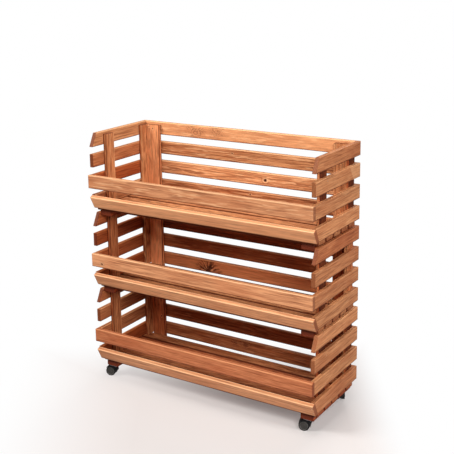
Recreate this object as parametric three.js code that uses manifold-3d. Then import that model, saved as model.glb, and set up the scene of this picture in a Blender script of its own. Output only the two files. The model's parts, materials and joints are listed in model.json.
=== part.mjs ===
import * as THREE from 'three';
import { mergeVertices } from 'three/addons/utils/BufferGeometryUtils.js';
import Module from 'manifold-3d';

// Vegetable rack: three alike slatted crates stacked on each other, the lowest on four castors.
// Millimetres, +Z up. X runs along the rack, the open front faces -Y and the ground is Z = 0.

// Whole rack
const rackLength = 930;
const rackDepth = 356;
const crateNames = ['bottom', 'middle', 'top'];

// Slats of the walls
const slatWidth = 50;
const slatThickness = 15;
const slatGap = 26.5;
const slatRows = 4;
const edgeEasing = 1.2;
const slantRun = 25;
const lowerRailDrop = 5;
const fitGap = 0.3;

// Floor slats and the two battens under them
const floorSlatCount = 5;
const floorSlatGap = 7.7;
const floorSlatThickness = 15;
const floorEndInset = 3;
const floorFrontClearance = 1.4;
const floorRearClearance = 3;
const battenWidth = 50;
const battenThickness = 19;
const battenRearClearance = 2;
const nestSideClearance = 1.5;
const nestDepth = 11;

// Upright boards in the corners
const postThickness = 14;
const frontPostWidth = 47;
const frontPostSetback = 63;
const rearSideBoardWidth = 47;
const rearBackBoardWidth = 60;

// Twin-wheel castors
const wheelDiameter = 38;
const wheelWidth = 11.5;
const wheelEdgeEasing = 1.5;
const wheelSides = 24;
const wheelDiscRimWidth = 3.6;
const wheelDiscRecess = 0.8;
const axleDiameter = 6;
const webThickness = 7;
const wheelSideClearance = 0.8;
const wheelTopClearance = 1;
const hoodThickness = 2;
const hoodTiltDegrees = 22;
const hoodLift = 4.8;
const hubDrop = 8;
const collarDiameter = 18;
const collarHeight = 2;
const collarDropShare = 0.75;
const kingpinDiameter = 6;
const castorTrail = 18;
const frontRestTurnDegrees = 17;
const rearRestTurnDegrees = -60;
const castorFrontSetback = 21.5;
const castorRearSetback = 30;
const plateSide = 38;
const plateThickness = 2;
const plateCornerRadius = 5;
const plateHoleDiameter = 4.4;
const plateHoleSpacing = 28;
const cutOverrun = 1;
const gridStep = 0.0001;
const roundSides = 24;
const hoodSides = 48;
const holeSides = 12;
const cornerSteps = 4;

// Colours, roughness and metalness
const woodFinish = { color: 0xb06f45, roughness: 0.62, metalness: 0 };
const paleWoodFinish = { color: 0xbb7a4c, roughness: 0.62, metalness: 0 };
const frameWoodFinish = { color: 0x9c5c38, roughness: 0.66, metalness: 0 };
const steelFinish = { color: 0x2c2c2e, roughness: 0.45, metalness: 0.8 };
const hoodFinish = { color: 0x161617, roughness: 0.5, metalness: 0 };
const wheelFinish = { color: 0x2e2e30, roughness: 0.55, metalness: 0 };

// Heights
const rowPitch = slatWidth + slatGap;
const crateWallHeight = slatRows * slatWidth + (slatRows - 1) * slatGap;
const undersideDepth = floorSlatThickness + battenThickness;
const cratePitch = crateWallHeight + undersideDepth - nestDepth;
const postHeight = crateWallHeight - nestDepth;
const castorHeight = wheelDiameter + wheelTopClearance + hoodThickness + collarHeight + plateThickness;
const firstCrateBase = castorHeight + undersideDepth;

// Places along X and Y that several pieces share
const outerX = rackLength / 2;
const wallX = outerX - slatThickness;
const frontY = -rackDepth / 2;
const rearY = rackDepth / 2;
const backWallY = rearY - slatThickness;
const sideFrontY = frontY + slatThickness;
const slantAngle = Math.atan2(slantRun, slatWidth);
const lowerRailRun = slatThickness / Math.cos(slantAngle);
const lowerRailFoot = slantRun * (slatWidth + lowerRailDrop) / slatWidth;
const floorFrontY = frontY + slantRun + lowerRailRun + floorFrontClearance;
const floorRearY = backWallY - postThickness - floorRearClearance;
const battenOuterX = wallX - nestSideClearance;
const battenRearY = backWallY - battenRearClearance;

const wasm = await Module();
wasm.setup();

// Geometry to solid, for joining and cutting, on a fine grid so that faces meant to touch do touch
function toSolid(geometry) {
  const bare = geometry.clone();
  bare.deleteAttribute('normal');
  bare.deleteAttribute('uv');
  const positions = bare.attributes.position.array;
  positions.forEach((value, index) => {
    positions[index] = Math.round(value / gridStep) * gridStep;
  });
  const merged = mergeVertices(bare);
  return new wasm.Manifold(new wasm.Mesh({
    numProp: 3,
    vertProperties: new Float32Array(merged.attributes.position.array),
    triVerts: new Uint32Array(merged.index.array),
  }));
}

// Solid back to geometry
function toGeometry(solid) {
  const mesh = solid.getMesh();
  const geometry = new THREE.BufferGeometry();
  geometry.setAttribute('position', new THREE.BufferAttribute(mesh.vertProperties, mesh.numProp));
  geometry.setIndex(new THREE.BufferAttribute(mesh.triVerts, 1));
  const flat = geometry.toNonIndexed();
  flat.computeVertexNormals();
  return flat;
}

function joined(geometries) {
  return geometries.map(toSolid).reduce((whole, piece) => whole.add(piece));
}

function named(name, geometry, finish) {
  const mesh = new THREE.Mesh(geometry, new THREE.MeshStandardMaterial(finish));
  mesh.name = name;
  return mesh;
}

// A board with eased edges: its outline lies in local XY and its thickness runs up local Z
function easedBoard(outline, thickness) {
  const shape = new THREE.Shape(outline.map(([u, v]) => new THREE.Vector2(u, v)));
  const geometry = new THREE.ExtrudeGeometry(shape, {
    depth: thickness - 2 * edgeEasing,
    bevelEnabled: true,
    bevelThickness: edgeEasing,
    bevelSize: edgeEasing,
    bevelOffset: -edgeEasing,
    bevelSegments: 1,
  });
  return geometry.translate(0, 0, edgeEasing);
}

function rectangle(uLow, uHigh, vLow, vHigh) {
  return [[uLow, vLow], [uHigh, vLow], [uHigh, vHigh], [uLow, vHigh]];
}

// A board that lies flat, between two corners in X and Y, with its underside at lowZ
function lyingBoard(xLow, xHigh, yLow, yHigh, lowZ, thickness) {
  return easedBoard(rectangle(xLow, xHigh, yLow, yHigh), thickness).translate(0, 0, lowZ);
}

// An upright board whose broad faces look along Y, with its front face at nearY
function facingBoard(xLow, xHigh, zLow, zHigh, nearY, thickness) {
  const alongX = new THREE.Vector3(1, 0, 0);
  const alongZ = new THREE.Vector3(0, 0, 1);
  const towardsFront = new THREE.Vector3(0, -1, 0);
  const turn = new THREE.Matrix4().makeBasis(alongX, alongZ, towardsFront);
  return easedBoard(rectangle(xLow, xHigh, zLow, zHigh), thickness)
    .applyMatrix4(turn)
    .translate(0, nearY + thickness, 0);
}

// An upright board whose broad faces look along X: the outline is given in Y and Z
function sideBoard(outline, lowX, thickness) {
  const alongX = new THREE.Vector3(1, 0, 0);
  const alongY = new THREE.Vector3(0, 1, 0);
  const alongZ = new THREE.Vector3(0, 0, 1);
  const turn = new THREE.Matrix4().makeBasis(alongY, alongZ, alongX);
  return easedBoard(outline, thickness).applyMatrix4(turn).translate(lowX, 0, 0);
}

// Lower end of a board of the given thickness that lies against the inside of a wall plane
function lowEnd(side, planeX, thickness) {
  return side > 0 ? planeX - thickness : -planeX;
}

// Row 0 is the top row and the last row is the lowest
function rowBase(row) {
  return (slatRows - 1 - row) * rowPitch;
}

// Outline of a side slat in Y and Z: the top row leans back at its top, the lowest at its bottom
function sideSlatOutline(row) {
  const low = rowBase(row);
  const high = low + slatWidth;
  if (row === 0) {
    return [[sideFrontY, low], [rearY, low], [rearY, high], [sideFrontY + slantRun, high]];
  }
  if (row === slatRows - 1) {
    const start = frontY + lowerRailRun + fitGap;
    return [[start + slantRun, low], [rearY, low], [rearY, high], [start, high]];
  }
  return rectangle(sideFrontY, rearY, low, high);
}

// Floor slats, battens and corner boards, fastened together as the crate's frame. The floor ends
// ahead of the rear boards, which stand on the battens.
function crateFrame() {
  const boards = [];
  const floorDepth = floorRearY - floorFrontY;
  const floorSlatWidth = (floorDepth - (floorSlatCount - 1) * floorSlatGap) / floorSlatCount;
  const floorPitch = floorSlatWidth + floorSlatGap;
  const floorEndX = outerX - floorEndInset;
  for (let index = 0; index < floorSlatCount; index += 1) {
    const nearY = floorFrontY + index * floorPitch;
    const farY = nearY + floorSlatWidth;
    boards.push(lyingBoard(-floorEndX, floorEndX, nearY, farY, -floorSlatThickness, floorSlatThickness));
  }
  const frontPostY = sideFrontY + frontPostSetback;
  const frontPost = rectangle(frontPostY, frontPostY + frontPostWidth, 0, postHeight);
  const rearSideBoard = rectangle(backWallY - rearSideBoardWidth, backWallY, 0, postHeight);
  const cornerX = wallX - postThickness;
  for (const side of [-1, 1]) {
    const battenX = lowEnd(side, battenOuterX, battenWidth);
    const batten = lyingBoard(battenX, battenX + battenWidth, floorFrontY, battenRearY, 0, battenThickness);
    boards.push(batten.translate(0, 0, -undersideDepth));
    const postX = lowEnd(side, wallX, postThickness);
    boards.push(sideBoard(frontPost, postX, postThickness));
    boards.push(sideBoard(rearSideBoard, postX, postThickness));
    const backLow = lowEnd(side, cornerX, rearBackBoardWidth);
    const backHigh = backLow + rearBackBoardWidth;
    const rearBoardY = backWallY - postThickness;
    boards.push(facingBoard(backLow, backHigh, -floorSlatThickness, postHeight, rearBoardY, postThickness));
  }
  return toGeometry(joined(boards));
}

// One crate: its frame, the slats of three walls and the two front rails
function crate(name, frameGeometry) {
  const group = new THREE.Group();
  group.add(named(`${name}_crate_frame`, frameGeometry, frameWoodFinish));
  for (let row = 0; row < slatRows; row += 1) {
    const low = rowBase(row);
    const label = row + 1;
    const back = facingBoard(-wallX, wallX, low, low + slatWidth, backWallY, slatThickness);
    group.add(named(`${name}_back_slat_${label}`, back, woodFinish));
    const outline = sideSlatOutline(row);
    const left = sideBoard(outline, lowEnd(-1, outerX, slatThickness), slatThickness);
    const right = sideBoard(outline, lowEnd(1, outerX, slatThickness), slatThickness);
    group.add(named(`${name}_left_slat_${label}`, left, woodFinish));
    group.add(named(`${name}_right_slat_${label}`, right, woodFinish));
  }
  const upperBase = rowBase(slatRows - 2);
  const upper = facingBoard(-outerX, outerX, upperBase, upperBase + slatWidth, frontY, slatThickness);
  group.add(named(`${name}_front_rail_upper`, upper, paleWoodFinish));
  const lower = facingBoard(-outerX, outerX, 0, slatWidth, 0, slatThickness);
  const lowerMesh = named(`${name}_front_rail_lower`, lower, paleWoodFinish);
  lowerMesh.rotation.x = slantAngle;
  lowerMesh.position.set(0, frontY + lowerRailFoot, -lowerRailDrop);
  group.add(lowerMesh);
  return group;
}

// Castor sizes that follow from the ones above
const wheelRadius = wheelDiameter / 2;
const wellRadius = wheelRadius + wheelTopClearance;
const hoodRadius = wellRadius + hoodThickness;
const wheelInnerY = webThickness / 2 + wheelSideClearance;
const wheelOuterY = wheelInnerY + wheelWidth;
const kingpinLength = collarHeight + hoodThickness;
const plateUnderside = castorHeight - plateThickness;

// A cylinder along Y round the axle, or upright round the swivel axis
function axleCylinder(radius, length, sides) {
  return new THREE.CylinderGeometry(radius, radius, length, sides).translate(-castorTrail, 0, wheelRadius);
}

function uprightCylinder(diameter, lowZ, highZ, sides) {
  return new THREE.CylinderGeometry(diameter / 2, diameter / 2, highZ - lowZ, sides)
    .rotateX(Math.PI / 2)
    .translate(0, 0, (lowZ + highZ) / 2);
}

// Fixed top plate with four screw holes and the kingpin under it
function castorPlate() {
  const half = plateSide / 2;
  const core = half - plateCornerRadius;
  const outline = new THREE.Shape();
  outline.moveTo(half, -core);
  outline.lineTo(half, core);
  outline.absarc(core, core, plateCornerRadius, 0, Math.PI / 2, false);
  outline.absarc(-core, core, plateCornerRadius, Math.PI / 2, Math.PI, false);
  outline.absarc(-core, -core, plateCornerRadius, Math.PI, 3 * Math.PI / 2, false);
  outline.absarc(core, -core, plateCornerRadius, 3 * Math.PI / 2, 2 * Math.PI, false);
  const sheet = new THREE.ExtrudeGeometry(outline, {
    depth: plateThickness,
    bevelEnabled: false,
    curveSegments: cornerSteps,
  }).translate(0, 0, plateUnderside);
  const kingpinTop = plateUnderside + plateThickness / 2;
  const kingpin = uprightCylinder(kingpinDiameter, plateUnderside - kingpinLength, kingpinTop, roundSides);
  let plate = joined([sheet, kingpin]);
  const holeOffset = plateHoleSpacing / 2;
  const holeBottom = plateUnderside - cutOverrun;
  const holeTop = castorHeight + cutOverrun;
  for (const [sideX, sideY] of [[-1, -1], [1, -1], [1, 1], [-1, 1]]) {
    const hole = uprightCylinder(plateHoleDiameter, holeBottom, holeTop, holeSides)
      .translate(sideX * holeOffset, sideY * holeOffset, 0);
    plate = plate.subtract(toSolid(hole));
  }
  return toGeometry(plate);
}

// Swivelling housing: a hood over the wheels, a web between them and a collar round the kingpin
function castorHousing() {
  const hoodWidth = 2 * wheelOuterY;
  const wellLength = hoodWidth + collarDiameter;
  const keepSide = 2 * (hoodRadius + cutOverrun);
  const keepAbove = new THREE.BoxGeometry(keepSide, hoodWidth + 2 * cutOverrun, keepSide)
    .translate(0, 0, hoodLift + keepSide / 2)
    .rotateY(THREE.MathUtils.degToRad(hoodTiltDegrees))
    .translate(-castorTrail, 0, wheelRadius);
  const hood = toSolid(axleCylinder(hoodRadius, hoodWidth, hoodSides)).intersect(toSolid(keepAbove));
  const collarTop = plateUnderside - fitGap;
  const collar = uprightCylinder(collarDiameter, collarDropShare * wheelDiameter, collarTop, roundSides);
  const well = axleCylinder(wellRadius, wellLength, hoodSides);
  const web = toSolid(axleCylinder(wellRadius + hoodThickness / 2, webThickness, hoodSides));
  const webKeep = new THREE.BoxGeometry(keepSide, hoodWidth, keepSide)
    .translate(-castorTrail, 0, wheelRadius - hubDrop + keepSide / 2);
  const bore = axleCylinder(axleDiameter / 2 + fitGap, webThickness + 2 * cutOverrun, roundSides);
  const socketBottom = plateUnderside - kingpinLength - fitGap;
  const socketTop = collarTop + cutOverrun;
  const socket = uprightCylinder(kingpinDiameter + 2 * fitGap, socketBottom, socketTop, roundSides);
  const shell = hood.add(toSolid(collar)).subtract(toSolid(well));
  const whole = shell.add(web.intersect(toSolid(webKeep)));
  return toGeometry(whole.subtract(toSolid(bore)).subtract(toSolid(socket)));
}

// Two wheels on one axle, turned as a single lathe profile round the axle
function castorWheels() {
  const flatToCorner = 1 / Math.cos(Math.PI / wheelSides);
  const treadRadius = wheelRadius * flatToCorner;
  const shoulderRadius = treadRadius - wheelEdgeEasing;
  const discRadius = shoulderRadius - wheelDiscRimWidth;
  const axleRadius = axleDiameter / 2;
  const halfProfile = [
    [axleRadius, wheelInnerY],
    [shoulderRadius, wheelInnerY],
    [treadRadius, wheelInnerY + wheelEdgeEasing],
    [treadRadius, wheelOuterY - wheelEdgeEasing],
    [shoulderRadius, wheelOuterY],
    [discRadius, wheelOuterY],
    [discRadius - wheelDiscRecess, wheelOuterY - wheelDiscRecess],
    [0, wheelOuterY - wheelDiscRecess],
  ];
  const mirrored = halfProfile.map(([radius, y]) => [radius, -y]).reverse();
  const points = [...mirrored, ...halfProfile].map(([radius, y]) => new THREE.Vector2(radius, y));
  return new THREE.LatheGeometry(points, wheelSides)
    .rotateY(Math.PI / wheelSides)
    .translate(-castorTrail, 0, wheelRadius);
}

// Rack: the crates from the ground up, then a castor under each end of both battens
const rack = new THREE.Group();
const frameGeometry = crateFrame();
crateNames.forEach((name, index) => {
  const group = crate(name, frameGeometry);
  group.position.z = firstCrateBase + index * cratePitch;
  rack.add(group);
});

const plateGeometry = castorPlate();
const housingGeometry = castorHousing();
const wheelsGeometry = castorWheels();
const castorX = battenOuterX - battenWidth / 2;
const castorFrontY = floorFrontY + castorFrontSetback;
const castorRearY = battenRearY - castorRearSetback;
const castorPlaces = [
  ['front_left', -castorX, castorFrontY, frontRestTurnDegrees],
  ['front_right', castorX, castorFrontY, frontRestTurnDegrees],
  ['rear_left', -castorX, castorRearY, rearRestTurnDegrees],
  ['rear_right', castorX, castorRearY, rearRestTurnDegrees],
];
for (const [place, x, y, restTurnDegrees] of castorPlaces) {
  const castor = new THREE.Group();
  castor.position.set(x, y, 0);
  castor.add(named(`${place}_castor_plate`, plateGeometry, steelFinish));
  const swivel = new THREE.Group();
  swivel.rotation.z = THREE.MathUtils.degToRad(restTurnDegrees);
  swivel.add(named(`${place}_castor_housing`, housingGeometry, hoodFinish));
  swivel.add(named(`${place}_castor_wheels`, wheelsGeometry, wheelFinish));
  castor.add(swivel);
  rack.add(castor);
}

export default rack;
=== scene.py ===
# %% [markdown]
# A vegetable rack of stained pine
#
# Three slatted crates stand on each other, and the lowest one runs on four small castors.
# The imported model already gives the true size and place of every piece, so this lesson
# only gives each board its grain, its eased edges and its nails, and each castor its finish.
# Blender could also load finished meshes, but a script that builds them can be read and changed.

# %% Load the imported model
import collections
import itertools
import json
import math
import random

import bmesh
import bpy
import numpy as np
from mathutils import Matrix, Vector


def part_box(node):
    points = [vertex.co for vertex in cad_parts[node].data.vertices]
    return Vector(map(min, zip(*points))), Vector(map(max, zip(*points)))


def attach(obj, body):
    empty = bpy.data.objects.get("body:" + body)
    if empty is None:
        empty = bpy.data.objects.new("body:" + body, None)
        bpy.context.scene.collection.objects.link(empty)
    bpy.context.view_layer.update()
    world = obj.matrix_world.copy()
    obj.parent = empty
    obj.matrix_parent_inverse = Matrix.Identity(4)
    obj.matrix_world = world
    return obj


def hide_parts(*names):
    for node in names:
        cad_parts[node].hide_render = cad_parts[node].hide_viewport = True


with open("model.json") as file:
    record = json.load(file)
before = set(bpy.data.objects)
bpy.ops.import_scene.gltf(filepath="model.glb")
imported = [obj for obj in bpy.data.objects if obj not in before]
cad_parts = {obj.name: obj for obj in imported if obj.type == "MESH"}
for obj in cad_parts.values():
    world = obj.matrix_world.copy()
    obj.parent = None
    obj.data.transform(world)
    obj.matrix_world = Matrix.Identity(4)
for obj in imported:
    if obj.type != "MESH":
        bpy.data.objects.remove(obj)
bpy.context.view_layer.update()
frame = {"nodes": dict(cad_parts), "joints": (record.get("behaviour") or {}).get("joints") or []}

millimetre = 0.001
white = (1, 1, 1, 1)


def add_object(name, data):
    item = bpy.data.objects.new(name, data)
    bpy.context.scene.collection.objects.link(item)
    return item


print("pieces in the packed model:", len(frame["nodes"]))

# %% [markdown]
# The camera
#
# A camera can be placed by eye, by a tracker, or from numbers. Here it is placed by three turns,
# because they were worked out from the rack's corners in the photograph. The lens is shifted down
# a little, which keeps the uprights of a tall rack upright in the picture.

# %% Place the camera
picture_side = 454
focal_length_in_pixels = 916.04
sensor_width = 36
camera_place = Vector((1.73162, -2.68288, 1.57387))
camera_turn = 0.56507
camera_dip = 0.22215
camera_roll = -0.01465
lens_shift = -0.1304

forwards = Vector((
    -math.sin(camera_turn) * math.cos(camera_dip),
    math.cos(camera_turn) * math.cos(camera_dip),
    -math.sin(camera_dip),
))
level = Vector((math.cos(camera_turn), math.sin(camera_turn), 0))
upright = level.cross(forwards)
to_right = math.cos(camera_roll) * level + math.sin(camera_roll) * upright
to_top = math.cos(camera_roll) * upright - math.sin(camera_roll) * level

camera_data = bpy.data.cameras.new("picture camera")
camera_data.sensor_width = sensor_width
camera_data.lens = focal_length_in_pixels / picture_side * sensor_width
camera_data.shift_y = lens_shift
camera = add_object("picture camera", camera_data)
camera_axes = Matrix((to_right, to_top, -forwards)).transposed().to_4x4()
camera.matrix_world = Matrix.Translation(camera_place) @ camera_axes
bpy.context.scene.camera = camera
bpy.context.scene.view_settings.view_transform = "Standard"
print("lens, in millimetres:", round(camera_data.lens, 1))

# %% [markdown]
# The studio
#
# A product picture like this is taken in a white room with broad lamps. Two stand in front, left
# and right, and give the faces their direction. Three weaker ones at the side, above and behind
# open the shadows between the slats. A white world all round would be simpler, but it would light
# the inside of the crates as much as the outside. So the room gives off almost no light, and only
# the camera sees it white: the path of the light tells the two apart.

# %% Helpers for node trees
def feed(tree, socket, value):
    if isinstance(value, bpy.types.NodeSocket):
        tree.links.new(value, socket)
    else:
        socket.default_value = value


def feed_all(tree, node, inputs):
    for label, value in inputs.items():
        feed(tree, node.inputs[label], value)


def output_of(tree, kind, inputs, output=0, **settings):
    """An output of a new node whose inputs are fed by name or by number."""
    node = tree.nodes.new(kind)
    for setting, value in settings.items():
        setattr(node, setting, value)
    feed_all(tree, node, inputs)
    return node.outputs[output]


def reckon(tree, operation, *values):
    return output_of(tree, "ShaderNodeMath", dict(enumerate(values)), operation=operation)


def product(tree, first, *others):
    for other in others:
        first = reckon(tree, "MULTIPLY", first, other)
    return first


def total(tree, first, *others):
    for other in others:
        first = reckon(tree, "ADD", first, other)
    return first


def rise(tree, value, low, high, peak=1):
    """A smooth step from nothing at low to the peak at high, which may lie below low."""
    inputs = {"Value": value, "From Min": low, "From Max": high, "To Max": peak}
    return output_of(tree, "ShaderNodeMapRange", inputs, "Result", interpolation_type="SMOOTHSTEP")


def vector_of(tree, *parts):
    return output_of(tree, "ShaderNodeCombineXYZ", dict(enumerate(parts)))


def reckon_vector(tree, operation, inputs):
    output = "Value" if operation in ("DOT_PRODUCT", "LENGTH") else "Vector"
    return output_of(tree, "ShaderNodeVectorMath", inputs, output, operation=operation)


print("helpers ready")

# %% Light the studio
seen_brightness = 1.0
room_brightness = 0.02
lamp_distance = 7
lamp_side = 2.4
lamp_aim = Vector((0, 0, 0.5))
warm_white = (1, 0.97, 0.93)
cool_white = (1, 0.975, 0.95)
lamps = {
    "left lamp": (-42, 38, 400, warm_white),
    "right lamp": (45, 32, 340, cool_white),
    "side lamp": (86, 22, 210, cool_white),
    "top lamp": (0, 78, 160, cool_white),
    "back lamp": (180, 35, 170, cool_white),
}

world = bpy.data.worlds.new("white room")
bpy.context.scene.world = world
world.use_nodes = True
room_tree = world.node_tree
room = room_tree.nodes["Background"]
feed_all(room_tree, room, {"Color": white, "Strength": room_brightness})
backdrop = output_of(room_tree, "ShaderNodeBackground", {"Color": white, "Strength": seen_brightness})
seen = output_of(room_tree, "ShaderNodeLightPath", {}, "Is Camera Ray")
choice = output_of(room_tree, "ShaderNodeMixShader", {0: seen, 1: room.outputs[0], 2: backdrop})
feed(room_tree, room_tree.nodes["World Output"].inputs["Surface"], choice)


def add_lamp(name, turn, height, power, colour):
    """A broad lamp seen from the rack's middle at a turn to the right and a height, in degrees."""
    lamp_data = bpy.data.lights.new(name, "AREA")
    lamp_data.energy = power
    lamp_data.size = lamp_side
    lamp_data.color = colour
    lamp = add_object(name, lamp_data)
    turn_angle = math.radians(turn)
    height_angle = math.radians(height)
    reach = lamp_distance * math.cos(height_angle)
    offset = Vector((math.sin(turn_angle) * reach, -math.cos(turn_angle) * reach,
                     lamp_distance * math.sin(height_angle)))
    lamp.location = lamp_aim + offset
    lamp.rotation_euler = (-offset).to_track_quat("-Z", "Y").to_euler()


for name, settings in lamps.items():
    add_lamp(name, *settings)
print("lamps:", len(lamps))

# %% [markdown]
# The floor
#
# The floor of the studio is a wide pale sheet that carries the soft shadow. The picture is cut out
# on white, so the grey floor shows only near the rack and melts into white behind it, to its right
# and left and far away. The sheet mixes its own colour with a white glow by how far a point lies
# along the view, across it and from the rack. A curved backdrop would do this at the rear only.
# The camera sees the whole glow and the rack gets a third of it, or it would be lit from below.

# %% Lay the floor
floor_half_side = 6
floor_colour = (0.572, 0.556, 0.556, 1)
floor_roughness = 0.75
fade_direction = (-0.535, 0.845, 0)
side_direction = (0.845, 0.535, 0)
depth_fade = (-0.15, 0.45)
right_fade = (0.36, 0.62)
left_fade = (-0.08, -0.85)
edge_fade = (1.1, 2.6)
near_glow_share = 0.2
near_glow_colour = (1, 0.9, 0.87, 1)
bounce_share = 0.34
corner_signs = ((-1, -1), (1, -1), (1, 1), (-1, 1))


def new_finish(name):
    finish = bpy.data.materials.new(name)
    finish.use_nodes = True
    return finish, finish.node_tree, finish.node_tree.nodes["Principled BSDF"]


def blend_colours(tree, share, first, second, mode="MIX"):
    """Sockets 0, 6 and 7 are the share and the two colours, and the blend comes out of output 2."""
    inputs = {0: share, 6: first, 7: second}
    return output_of(tree, "ShaderNodeMix", inputs, 2, data_type="RGBA", blend_type=mode)


floor_finish, floor_tree, floor_shader = new_finish("studio floor")
feed_all(floor_tree, floor_shader, {"Base Color": floor_colour, "Roughness": floor_roughness})
floor_place = output_of(floor_tree, "ShaderNodeTexCoord", {}, "Object")
depth = reckon_vector(floor_tree, "DOT_PRODUCT", {0: floor_place, 1: fade_direction})
sideways = reckon_vector(floor_tree, "DOT_PRODUCT", {0: floor_place, 1: side_direction})
distance = reckon_vector(floor_tree, "LENGTH", {0: floor_place})
far_share = total(floor_tree, rise(floor_tree, depth, *depth_fade, 1 - near_glow_share), near_glow_share)
for measure, fade in ((distance, edge_fade), (sideways, right_fade), (sideways, left_fade)):
    far_share = reckon(floor_tree, "MAXIMUM", far_share, rise(floor_tree, measure, *fade))
glow_colour = blend_colours(floor_tree, far_share, near_glow_colour, white)
floor_seen = output_of(floor_tree, "ShaderNodeLightPath", {}, "Is Camera Ray")
glow_strength = reckon(floor_tree, "MULTIPLY_ADD", floor_seen, 1 - bounce_share, bounce_share)
glow = output_of(floor_tree, "ShaderNodeEmission", {"Color": glow_colour, "Strength": glow_strength})
melted = output_of(floor_tree, "ShaderNodeMixShader", {0: far_share, 1: floor_shader.outputs[0], 2: glow})
feed(floor_tree, floor_tree.nodes["Material Output"].inputs["Surface"], melted)

floor_mesh = bpy.data.meshes.new("studio floor")
floor_corners = [(x * floor_half_side, y * floor_half_side, 0) for x, y in corner_signs]
floor_mesh.from_pydata(floor_corners, [], [(0, 1, 2, 3)])
floor_mesh.materials.append(floor_finish)
studio_floor = add_object("studio_floor", floor_mesh)
print("floor, metres each way:", 2 * floor_half_side)

# %% [markdown]
# Stained, brushed pine
#
# A sawn pine board shows its yearly rings as stripes and arches, because the saw cuts the cone of
# rings at a slant. The finish works in the same way: it finds how far a point is from the heart of
# the tree and stripes that distance. Each board carries its own place in the tree as an attribute
# of its points, so no two boards look alike. A flat wood picture could be wrapped round the boards
# instead, but it would repeat and would show no grain at the sawn ends. Brushing leaves the hard
# late wood standing a little proud, so the same stripes also drive the bump.

# %% Read a board's own place in the tree
fine_detail = 3
coarse_detail = 2
middle_grey = 0.5


def read_attribute(tree, name):
    vector = output_of(tree, "ShaderNodeAttribute", {}, "Vector", attribute_name=name)
    parts = output_of(tree, "ShaderNodeSeparateXYZ", {0: vector}).node
    return tuple(parts.outputs)


def noise_at(tree, place, scale, detail):
    return output_of(tree, "ShaderNodeTexNoise", {"Vector": place, "Scale": scale, "Detail": detail}, "Fac")


def grain_noise(tree, grain, seed, scale, detail):
    """Noise that is long along the board and short across it, different for each board."""
    place = [reckon(tree, "MULTIPLY_ADD", part, stretch, seed) for part, stretch in zip(grain, scale)]
    return noise_at(tree, vector_of(tree, *place), 1, detail)


def swing_of(tree, noise, weight):
    return product(tree, reckon(tree, "SUBTRACT", noise, middle_grey), weight)


def length_of(tree, first, second):
    return reckon_vector(tree, "LENGTH", {0: vector_of(tree, first, second)})


def off_middle(tree, value, stripes, start):
    """How far a value is from the middle of its stripe, from none to a half."""
    wave = reckon(tree, "FRACT", reckon(tree, "MULTIPLY_ADD", value, stripes, start))
    return reckon(tree, "ABSOLUTE", reckon(tree, "SUBTRACT", wave, middle_grey))


print("noise detail, fine and coarse:", fine_detail, coarse_detail)

# %% [markdown]
# Knots
#
# A knot is the foot of a branch. It has a dark core with a paler collar, and the rings bend and
# curl round it. A branch that the saw has split lengthwise shows dark rays, and one cut at a slant
# shows thin outlines, one inside the other. All of these follow from the distance to the knot and
# the direction from it, so a board only needs the place and the size of its knots. A picture of
# a knot could be pasted on, but the rings of the board wouldn't bend round it.

# %% Shape the knots
knot_flattening = 0.75
knot_unevenness = 0.9
knot_noise_scale = (45, 70, 70)
knot_push = 1.5
knot_reach = 3.2
knot_core_edge = 1.15
knot_core_share = 0.6
collar_outside = 2.3
collar_middle = 1.5
collar_share = 0.5
ray_count = 7
ray_stretch = 0.25
ray_lean = 0.85
ray_limits = (0.44, 0.51)
ray_fade = (5.5, 2)
eye_lines = 2
eye_line_width = 0.11
eye_edge = 1.35
eye_darkness = 0.8
eye_centre_fade = (0.25, 0.4)


def knot_marks(tree, name, core_share, growth):
    """How far one knot pushes the rings aside, its dark core and the pale collar round it."""
    along, across, size = read_attribute(tree, name)
    flattened = product(tree, along, knot_flattening)
    distance = reckon(tree, "DIVIDE", length_of(tree, flattened, across), size)
    distance = product(tree, distance, total(tree, swing_of(tree, growth, knot_unevenness), 1))
    push = product(tree, rise(tree, distance, knot_reach, 0, knot_push), size)
    core = product(tree, rise(tree, distance, knot_core_edge, knot_core_share), core_share)
    collar = product(tree, rise(tree, distance, collar_outside, collar_middle),
                     rise(tree, distance, knot_core_share, collar_middle), core_share, collar_share)
    return push, core, collar, distance


def knot_rays(tree, name, distance, seed, share):
    """Dark rays that run out from a knot which the saw has cut lengthwise."""
    along, across, _ = read_attribute(tree, name)
    turn = reckon(tree, "ARCTAN2", across, reckon(tree, "MULTIPLY_ADD", across, ray_lean, along))
    place = vector_of(tree, product(tree, turn, ray_count), product(tree, distance, ray_stretch), seed)
    rays = rise(tree, noise_at(tree, place, 1, coarse_detail), *ray_limits)
    return product(tree, rays, rise(tree, distance, *ray_fade), share)


def knot_eye(tree, distance, share):
    """Thin dark outlines round a knot, one inside the other, as in a cut through a twig."""
    off_line = off_middle(tree, distance, eye_lines, middle_grey)
    return product(tree, rise(tree, off_line, eye_line_width, 0, eye_darkness),
                   rise(tree, distance, eye_edge, 1), rise(tree, distance, *eye_centre_fade), share)


print("rays round a split knot:", ray_count)

# %% Draw the yearly rings
ring_spacing = 4.6 * millimetre
ring_wobble = 20 * millimetre
ring_drift_per_metre = 0.012
wobble_scale = (3.4, 14, 14)
ripple_scale = (16, 60, 60)
ripple_depth = 3.4 * millimetre
late_wood_stops = ((0.0, 0.2), (0.12, 0.0), (0.5, 0.15), (0.8, 0.95), (0.93, 1.0), (1.0, 0.2))


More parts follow.
